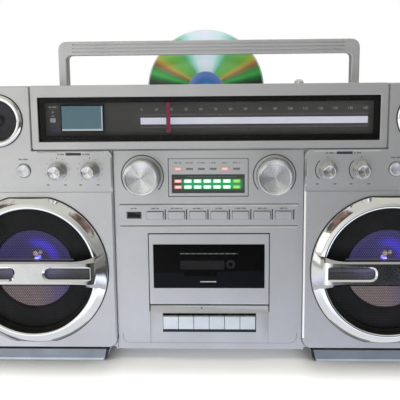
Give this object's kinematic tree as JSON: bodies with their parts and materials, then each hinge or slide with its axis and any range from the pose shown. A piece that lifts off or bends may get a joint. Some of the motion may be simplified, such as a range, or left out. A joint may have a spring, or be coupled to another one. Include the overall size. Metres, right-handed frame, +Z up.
{
  "type": "portable stereo cassette player",
  "caption": "Silver boombox with a tape deck, dial tuner, slot-loaded disc, chrome-trimmed woofers, tweeters, piano keys, knobs and a folding carrying handle.",
  "frame": {"origin": "middle of the base: centre of the bounding box, on the surface that the feet stand on", "axes": "+Z up, +X to the right as the front is faced, and the front faces -Y"},
  "size_m": [0.496, 0.165, 0.3176],
  "materials": {
    "silver": "metallic silver lacquer on moulded plastic, satin",
    "chrome": "bright vacuum-plated chrome",
    "aluminium": "turned aluminium, fine concentric spin marks",
    "black": "moulded black plastic, satin",
    "cone": "black pressed paper cone and rubber surround",
    "grille": "perforated steel, black paint",
    "smoked": "smoked acrylic, polished",
    "clear": "clear acrylic, polished",
    "dial": "printed dark grey dial plate",
    "lcd": "unlit liquid-crystal display, blue-grey",
    "pointer": "translucent red pointer",
    "key": "pale silver piano keys",
    "steel": "pressed and plated steel",
    "board": "glass-fibre circuit board, green solder mask",
    "iron": "varnished iron core and windings",
    "disc": "metallised polycarbonate disc, iridescent",
    "rubber": "black rubber"
  },
  "bodies": {
    "cabinet": {"front_cabinet": "silver", "rear_cabinet": "silver", "foot_left": "silver", "foot_right": "silver", "dial_frame": "silver", "dial_window": "clear", "dial_scale": "dial", "lcd_display": "lcd", "woofer_trim_left": "chrome", "woofer_trim_right": "chrome", "woofer_grille_left": "grille", "woofer_grille_right": "grille", "woofer_driver_left": "cone", "woofer_driver_right": "cone", "tweeter_trim_left": "chrome", "tweeter_trim_right": "chrome", "tweeter_driver_left": "black", "tweeter_driver_right": "black", "usb_socket": "steel", "meter_panel": "silver", "cassette_deck": "steel", "deck_motor": "steel", "disc_drive": "black", "antenna_sleeve": "steel", "main_board": "board", "transformer": "iron", "mains_inlet": "black"},
    "handle": {"handle": "silver"},
    "cassette_door": {"cassette_door": "silver", "cassette_window": "smoked"},
    "volume_knob": {"volume_knob": "aluminium"},
    "tuning_knob": {"tuning_knob": "aluminium"},
    "dial_pointer": {"dial_pointer": "pointer"},
    "compact_disc": {"compact_disc": "disc"},
    "antenna_middle": {"antenna_middle": "chrome"},
    "antenna_tip": {"antenna_tip": "chrome"},
    "battery_door": {"battery_door": "silver"},
    "supply_spindle": {"supply_spindle": "black"},
    "take_up_spindle": {"take_up_spindle": "black"},
    "capstan_flywheel": {"capstan_flywheel": "steel"},
    "tape_head": {"tape_head": "steel"},
    "power_button": {"power_button": "aluminium"},
    "band_button": {"band_button": "aluminium"},
    "bass_knob": {"bass_knob": "chrome"},
    "treble_knob": {"treble_knob": "chrome"},
    "balance_knob": {"balance_knob": "chrome"},
    "echo_knob": {"echo_knob": "chrome"},
    "mode_button": {"mode_button": "silver"},
    "play_button": {"play_button": "silver"},
    "stop_button": {"stop_button": "silver"},
    "skip_back_button": {"skip_back_button": "silver"},
    "skip_forward_button": {"skip_forward_button": "silver"},
    "program_button": {"program_button": "silver"},
    "repeat_button": {"repeat_button": "silver"},
    "pause_key": {"pause_key": "key"},
    "stop_eject_key": {"stop_eject_key": "key"},
    "fast_forward_key": {"fast_forward_key": "key"},
    "rewind_key": {"rewind_key": "key"},
    "play_key": {"play_key": "key"},
    "record_key": {"record_key": "key"}
  },
  "joints": [
    {"name": "handle_fold", "type": "hinge", "parent": "cabinet", "child": "handle", "pos_m": [0, -0.038, 0.2545], "axis": [-1, 0, 0], "range_deg": [0, 65]},
    {"name": "door_tilt", "type": "hinge", "parent": "cabinet", "child": "cassette_door", "pos_m": [0, -0.0617, 0.057], "axis": [1, 0, 0], "range_deg": [0, 40]},
    {"name": "volume_turn", "type": "hinge", "parent": "cabinet", "child": "volume_knob", "pos_m": [-0.0613, -0.0675, 0.1789], "axis": [0, 1, 0], "range_deg": [-120, 170]},
    {"name": "tuning_turn", "type": "hinge", "parent": "cabinet", "child": "tuning_knob", "pos_m": [0.0613, -0.0675, 0.1789], "axis": [0, 1, 0], "range_deg": [-130, 1030]},
    {"name": "pointer_travel", "type": "slide", "parent": "cabinet", "child": "dial_pointer", "axis": [1, 0, 0], "range_m": [-0.023, 0.18]},
    {"name": "bass_turn", "type": "hinge", "parent": "cabinet", "child": "bass_knob", "pos_m": [-0.1402, -0.0675, 0.1845], "axis": [0, 1, 0], "range_deg": [-135, 135]},
    {"name": "treble_turn", "type": "hinge", "parent": "cabinet", "child": "treble_knob", "pos_m": [-0.1095, -0.0675, 0.1845], "axis": [0, 1, 0], "range_deg": [-135, 135]},
    {"name": "balance_turn", "type": "hinge", "parent": "cabinet", "child": "balance_knob", "pos_m": [0.1095, -0.0675, 0.1845], "axis": [0, 1, 0], "range_deg": [-135, 135]},
    {"name": "echo_turn", "type": "hinge", "parent": "cabinet", "child": "echo_knob", "pos_m": [0.1402, -0.0675, 0.1845], "axis": [0, 1, 0], "range_deg": [-135, 135]},
    {"name": "power_press", "type": "slide", "parent": "cabinet", "child": "power_button", "axis": [0, 1, 0], "range_m": [0, 0.002], "stiffness_N_per_m": 300, "springref_m": -0.0015},
    {"name": "band_press", "type": "slide", "parent": "cabinet", "child": "band_button", "axis": [0, 1, 0], "range_m": [0, 0.002], "stiffness_N_per_m": 300, "springref_m": -0.0015},
    {"name": "mode_press", "type": "slide", "parent": "cabinet", "child": "mode_button", "axis": [0, 1, 0], "range_m": [0, 0.0014], "stiffness_N_per_m": 300, "springref_m": -0.0015},
    {"name": "play_press", "type": "slide", "parent": "cabinet", "child": "play_button", "axis": [0, 1, 0], "range_m": [0, 0.0014], "stiffness_N_per_m": 300, "springref_m": -0.0015},
    {"name": "stop_press", "type": "slide", "parent": "cabinet", "child": "stop_button", "axis": [0, 1, 0], "range_m": [0, 0.0014], "stiffness_N_per_m": 300, "springref_m": -0.0015},
    {"name": "skip_back_press", "type": "slide", "parent": "cabinet", "child": "skip_back_button", "axis": [0, 1, 0], "range_m": [0, 0.0014], "stiffness_N_per_m": 300, "springref_m": -0.0015},
    {"name": "skip_forward_press", "type": "slide", "parent": "cabinet", "child": "skip_forward_button", "axis": [0, 1, 0], "range_m": [0, 0.0014], "stiffness_N_per_m": 300, "springref_m": -0.0015},
    {"name": "program_press", "type": "slide", "parent": "cabinet", "child": "program_button", "axis": [0, 1, 0], "range_m": [0, 0.0014], "stiffness_N_per_m": 300, "springref_m": -0.0015},
    {"name": "repeat_press", "type": "slide", "parent": "cabinet", "child": "repeat_button", "axis": [0, 1, 0], "range_m": [0, 0.0014], "stiffness_N_per_m": 300, "springref_m": -0.0015},
    {"name": "pause_key_press", "type": "hinge", "parent": "cabinet", "child": "pause_key", "pos_m": [0, -0.0295, 0.036], "axis": [1, 0, 0], "range_deg": [0, 6.5], "stiffness_Nm_per_rad": 0.4, "springref_deg": -3.44},
    {"name": "stop_eject_key_press", "type": "hinge", "parent": "cabinet", "child": "stop_eject_key", "pos_m": [0, -0.0295, 0.036], "axis": [1, 0, 0], "range_deg": [0, 6.5], "stiffness_Nm_per_rad": 0.4, "springref_deg": -3.44},
    {"name": "fast_forward_key_press", "type": "hinge", "parent": "cabinet", "child": "fast_forward_key", "pos_m": [0, -0.0295, 0.036], "axis": [1, 0, 0], "range_deg": [0, 6.5], "stiffness_Nm_per_rad": 0.4, "springref_deg": -3.44},
    {"name": "rewind_key_press", "type": "hinge", "parent": "cabinet", "child": "rewind_key", "pos_m": [0, -0.0295, 0.036], "axis": [1, 0, 0], "range_deg": [0, 6.5], "stiffness_Nm_per_rad": 0.4, "springref_deg": -3.44},
    {"name": "play_key_press", "type": "hinge", "parent": "cabinet", "child": "play_key", "pos_m": [0, -0.0295, 0.036], "axis": [1, 0, 0], "range_deg": [0, 6.5], "stiffness_Nm_per_rad": 0.4, "springref_deg": -3.44},
    {"name": "record_key_press", "type": "hinge", "parent": "cabinet", "child": "record_key", "pos_m": [0, -0.0295, 0.036], "axis": [1, 0, 0], "range_deg": [0, 6.5], "stiffness_Nm_per_rad": 0.4, "springref_deg": -3.44},
    {"name": "head_lift", "type": "slide", "parent": "cabinet", "child": "tape_head", "axis": [0, 0, 1], "range_m": [0, 0.004]},
    {"name": "flywheel_spin", "type": "hinge", "parent": "cabinet", "child": "capstan_flywheel", "pos_m": [0.0295, -0.0295, 0.0624], "axis": [0, 1, 0], "continuous": true},
    {"name": "take_up_spin", "type": "hinge", "parent": "cabinet", "child": "take_up_spindle", "pos_m": [0.02125, -0.0475, 0.0933], "axis": [0, 1, 0], "continuous": true},
    {"name": "supply_spin", "type": "hinge", "parent": "cabinet", "child": "supply_spindle", "pos_m": [-0.02125, -0.0475, 0.0933], "axis": [0, 1, 0], "continuous": true},
    {"name": "disc_load", "type": "slide", "parent": "cabinet", "child": "compact_disc", "axis": [0, 0, -1], "range_m": [0, 0.056]},
    {"name": "antenna_middle_pull", "type": "slide", "parent": "cabinet", "child": "antenna_middle", "axis": [0, 0, 1], "range_m": [0, 0.09]},
    {"name": "antenna_tip_pull", "type": "slide", "parent": "antenna_middle", "child": "antenna_tip", "axis": [0, 0, 1], "range_m": [0, 0.09]},
    {"name": "battery_door_open", "type": "hinge", "parent": "cabinet", "child": "battery_door", "pos_m": [0, 0.0811, 0.0312], "axis": [-1, 0, 0], "range_deg": [0, 90]}
  ],
  "couplings": [
    {"joint": "pointer_travel", "follows": "tuning_turn", "m_per_rad": 0.01},
    {"joint": "head_lift", "follows": "play_key_press", "m_per_rad": 0.035},
    {"joint": "take_up_spin", "follows": "flywheel_spin", "ratio": 0.1},
    {"joint": "supply_spin", "follows": "flywheel_spin", "ratio": 0.1}
  ]
}
